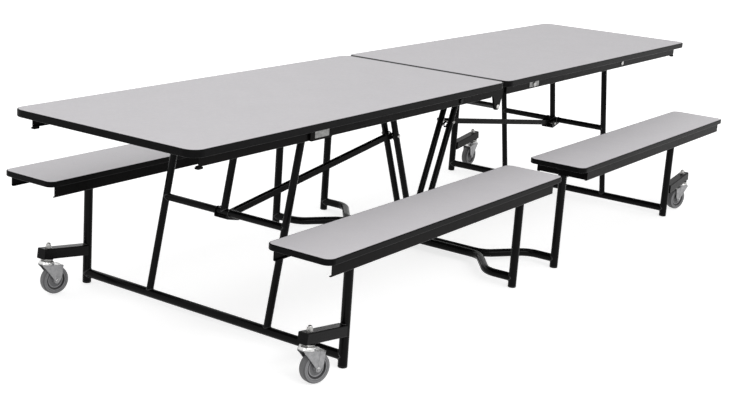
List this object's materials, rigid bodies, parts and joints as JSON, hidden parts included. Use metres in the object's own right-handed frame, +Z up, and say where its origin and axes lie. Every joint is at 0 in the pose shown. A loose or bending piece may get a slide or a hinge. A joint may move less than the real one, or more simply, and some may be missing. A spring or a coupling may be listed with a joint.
{
  "type": "folding cafeteria table with benches",
  "caption": "Mobile cafeteria table that folds at its middle, with benches on both sides, a tubular steel frame and swivel casters.",
  "frame": {"origin": "on the floor under the middle of the fold line, centre of the footprint", "axes": "+X along the table towards the right half, +Y across it towards the rear bench, +Z up"},
  "size_m": [3.658, 1.396, 0.745],
  "materials": {
    "laminate": "pale grey high-pressure laminate on board",
    "edge_band": "black moulded T-edge",
    "channel_black": "satin black powder coat on folded channel",
    "frame_black": "semi-gloss black powder coat on tube",
    "foot_plastic": "black nylon glide",
    "zinc": "bright zinc plate",
    "bright_plate": "bare brushed steel",
    "hinge_steel": "black rod with worn bright ends",
    "wheel_grey": "grey non-marking rubber on a grey core"
  },
  "bodies": {
    "left_end": {"left_bottom_tube": "frame_black", "left_end_posts": "frame_black", "left_end_feet": "foot_plastic", "left_table_legs": "frame_black", "left_upper_frame": "frame_black", "left_caster_arms": "frame_black", "left_end_fasteners": "zinc"},
    "left_table": {"left_table_top": "laminate", "left_table_edge": "edge_band", "left_table_aprons": "channel_black", "left_pivot_rods": "frame_black", "left_pivot_plate": "bright_plate", "left_hinge_plates": "channel_black", "hinge_rod": "hinge_steel"},
    "right_table": {"right_table_top": "laminate", "right_table_edge": "edge_band", "right_table_aprons": "channel_black", "right_pivot_rods": "zinc", "right_pivot_plate": "bright_plate", "right_hinge_plates": "channel_black"},
    "right_end": {"right_bottom_tube": "frame_black", "right_end_posts": "frame_black", "right_end_feet": "foot_plastic", "right_table_legs": "frame_black", "right_upper_frame": "frame_black", "right_caster_arms": "frame_black", "right_end_fasteners": "zinc"},
    "left_front_bench": {"left_front_bench_seat": "laminate", "left_front_bench_edge": "edge_band", "left_front_bench_rails": "channel_black"},
    "left_rear_bench": {"left_rear_bench_seat": "laminate", "left_rear_bench_edge": "edge_band", "left_rear_bench_rails": "channel_black"},
    "left_center_frame": {"left_center_tube": "frame_black", "left_inner_posts": "frame_black", "left_inner_feet": "foot_plastic"},
    "left_center_leg_pair": {"left_center_legs": "frame_black", "left_brace_bolt": "zinc"},
    "left_brace_link": {"left_brace": "channel_black"},
    "left_front_caster": {"left_front_fork": "zinc"},
    "left_front_roller": {"left_front_wheel": "wheel_grey"},
    "left_rear_caster": {"left_rear_fork": "zinc"},
    "left_rear_roller": {"left_rear_wheel": "wheel_grey"},
    "right_front_bench": {"right_front_bench_seat": "laminate", "right_front_bench_edge": "edge_band", "right_front_bench_rails": "channel_black"},
    "right_rear_bench": {"right_rear_bench_seat": "laminate", "right_rear_bench_edge": "edge_band", "right_rear_bench_rails": "channel_black"},
    "right_center_frame": {"right_center_tube": "frame_black", "right_inner_posts": "frame_black", "right_inner_feet": "foot_plastic"},
    "right_center_leg_pair": {"right_center_legs": "frame_black", "right_brace_bolt": "zinc"},
    "right_brace_link": {"right_brace": "channel_black"},
    "right_front_caster": {"right_front_fork": "zinc"},
    "right_front_roller": {"right_front_wheel": "wheel_grey"},
    "right_rear_caster": {"right_rear_fork": "zinc"},
    "right_rear_roller": {"right_rear_wheel": "wheel_grey"}
  },
  "joints": [
    {"name": "fold", "type": "hinge", "parent": "left_end", "child": "left_table", "pos_m": [-1.154, 0, 0.703], "axis": [0, -1, 0], "range_deg": [0, 76]},
    {"name": "table_hinge", "type": "hinge", "parent": "left_table", "child": "right_table", "pos_m": [0, 0, 0.643], "axis": [0, 1, 0], "range_deg": [0, 152]},
    {"name": "right_end_pivot", "type": "hinge", "parent": "right_table", "child": "right_end", "pos_m": [1.154, 0, 0.703], "axis": [0, -1, 0], "range_deg": [0, 76]},
    {"name": "left_front_bench_pivot", "type": "hinge", "parent": "left_end", "child": "left_front_bench", "pos_m": [-1.346, -0.571, 0.405], "axis": [0, -1, 0], "range_deg": [0, 76]},
    {"name": "left_rear_bench_pivot", "type": "hinge", "parent": "left_end", "child": "left_rear_bench", "pos_m": [-1.346, 0.571, 0.405], "axis": [0, -1, 0], "range_deg": [0, 76]},
    {"name": "left_center_frame_pivot", "type": "hinge", "parent": "left_front_bench", "child": "left_center_frame", "pos_m": [-0.225, -0.571, 0.405], "axis": [0, 1, 0], "range_deg": [0, 76]},
    {"name": "left_center_leg_pivot", "type": "hinge", "parent": "left_table", "child": "left_center_leg_pair", "pos_m": [-0.292, 0, 0.7], "axis": [0, 1, 0], "range_deg": [0, 97.28]},
    {"name": "left_brace_pivot", "type": "hinge", "parent": "left_end", "child": "left_brace_link", "pos_m": [-1.19204, 0, 0.362], "axis": [0, -1, 0], "range_deg": [0, 67.26]},
    {"name": "left_front_swivel", "type": "hinge", "parent": "left_end", "child": "left_front_caster", "pos_m": [-1.49257, -0.571, 0.13398], "axis": [0.1352, 0, 0.9908], "continuous": true},
    {"name": "left_front_roll", "type": "hinge", "parent": "left_front_caster", "child": "left_front_roller", "pos_m": [-1.46682, -0.58284, 0.05325], "axis": [0.3062, 0.9511, -0.0418], "continuous": true},
    {"name": "left_rear_swivel", "type": "hinge", "parent": "left_end", "child": "left_rear_caster", "pos_m": [-1.49257, 0.571, 0.13398], "axis": [0.1352, 0, 0.9908], "continuous": true},
    {"name": "left_rear_roll", "type": "hinge", "parent": "left_rear_caster", "child": "left_rear_roller", "pos_m": [-1.46626, 0.56109, 0.05318], "axis": [0.2564, 0.9659, -0.035], "continuous": true},
    {"name": "right_front_bench_pivot", "type": "hinge", "parent": "right_end", "child": "right_front_bench", "pos_m": [1.346, -0.571, 0.405], "axis": [0, 1, 0], "range_deg": [0, 76]},
    {"name": "right_rear_bench_pivot", "type": "hinge", "parent": "right_end", "child": "right_rear_bench", "pos_m": [1.346, 0.571, 0.405], "axis": [0, 1, 0], "range_deg": [0, 76]},
    {"name": "right_center_frame_pivot", "type": "hinge", "parent": "right_front_bench", "child": "right_center_frame", "pos_m": [0.225, -0.571, 0.405], "axis": [0, -1, 0], "range_deg": [0, 76]},
    {"name": "right_center_leg_pivot", "type": "hinge", "parent": "right_table", "child": "right_center_leg_pair", "pos_m": [0.292, 0, 0.7], "axis": [0, -1, 0], "range_deg": [0, 97.28]},
    {"name": "right_brace_pivot", "type": "hinge", "parent": "right_end", "child": "right_brace_link", "pos_m": [1.19204, 0, 0.362], "axis": [0, 1, 0], "range_deg": [0, 67.26]},
    {"name": "right_front_swivel", "type": "hinge", "parent": "right_end", "child": "right_front_caster", "pos_m": [1.49257, -0.571, 0.13398], "axis": [-0.1352, 0, 0.9908], "continuous": true},
    {"name": "right_front_roll", "type": "hinge", "parent": "right_front_caster", "child": "right_front_roller", "pos_m": [1.46682, -0.55916, 0.05325], "axis": [0.3062, 0.9511, 0.0418], "continuous": true},
    {"name": "right_rear_swivel", "type": "hinge", "parent": "right_end", "child": "right_rear_caster", "pos_m": [1.49257, 0.571, 0.13398], "axis": [-0.1352, 0, 0.9908], "continuous": true},
    {"name": "right_rear_roll", "type": "hinge", "parent": "right_rear_caster", "child": "right_rear_roller", "pos_m": [1.46496, 0.571, 0.053], "axis": [0, 1, 0], "continuous": true}
  ],
  "couplings": [
    {"joint": "table_hinge", "follows": "fold", "ratio": 2},
    {"joint": "right_end_pivot", "follows": "fold", "ratio": 1},
    {"joint": "left_front_bench_pivot", "follows": "fold", "ratio": 1},
    {"joint": "left_rear_bench_pivot", "follows": "fold", "ratio": 1},
    {"joint": "left_center_frame_pivot", "follows": "fold", "ratio": 1},
    {"joint": "left_center_leg_pivot", "follows": "fold", "ratio": 1.28},
    {"joint": "left_brace_pivot", "follows": "fold", "ratio": 0.885},
    {"joint": "right_front_bench_pivot", "follows": "fold", "ratio": 1},
    {"joint": "right_rear_bench_pivot", "follows": "fold", "ratio": 1},
    {"joint": "right_center_frame_pivot", "follows": "fold", "ratio": 1},
    {"joint": "right_center_leg_pivot", "follows": "fold", "ratio": 1.28},
    {"joint": "right_brace_pivot", "follows": "fold", "ratio": 0.885}
  ]
}
